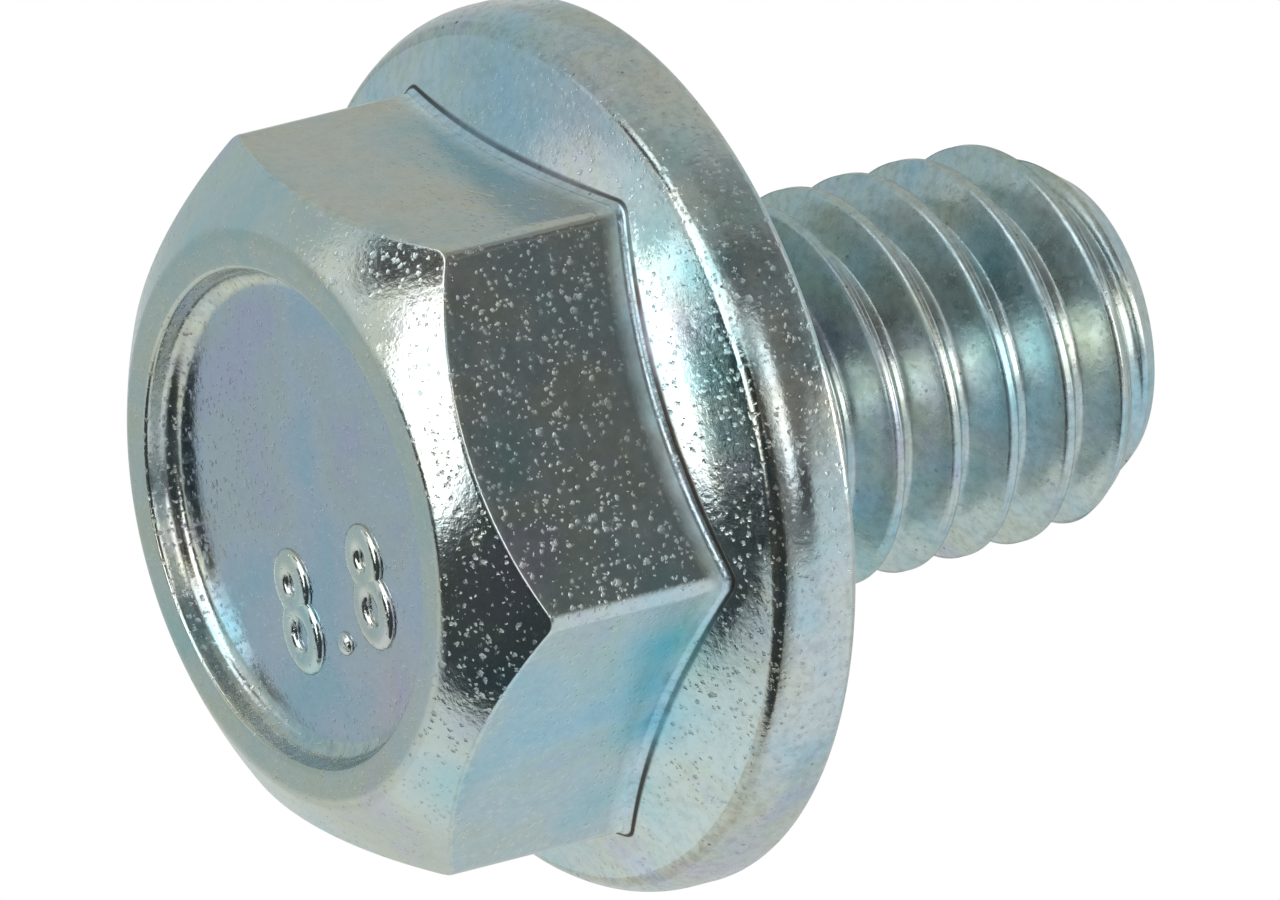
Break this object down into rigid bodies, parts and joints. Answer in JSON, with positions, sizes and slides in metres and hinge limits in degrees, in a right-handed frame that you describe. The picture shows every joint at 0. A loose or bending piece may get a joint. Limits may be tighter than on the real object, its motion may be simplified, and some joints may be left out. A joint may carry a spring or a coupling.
{
  "type": "hex flange bolt",
  "caption": "Short zinc-plated hex flange bolt: dished hexagonal head with a broad coned flange and a fully threaded, chamfered shank, for closing an oil pan.",
  "frame": {"origin": "centre of the flat ring round the recess of the head top, in that ring's plane", "axes": "+Z along the bolt's axis from the head towards the thread's end, +X through a corner of the hexagon"},
  "size_m": [0.0134, 0.0134, 0.0138],
  "materials": {
    "zinc_plated_steel": "bright zinc plating with clear blue passivation, finely pitted by cold forming"
  },
  "bodies": {
    "root": {"flange_bolt": "zinc_plated_steel"}
  },
  "joints": []
}
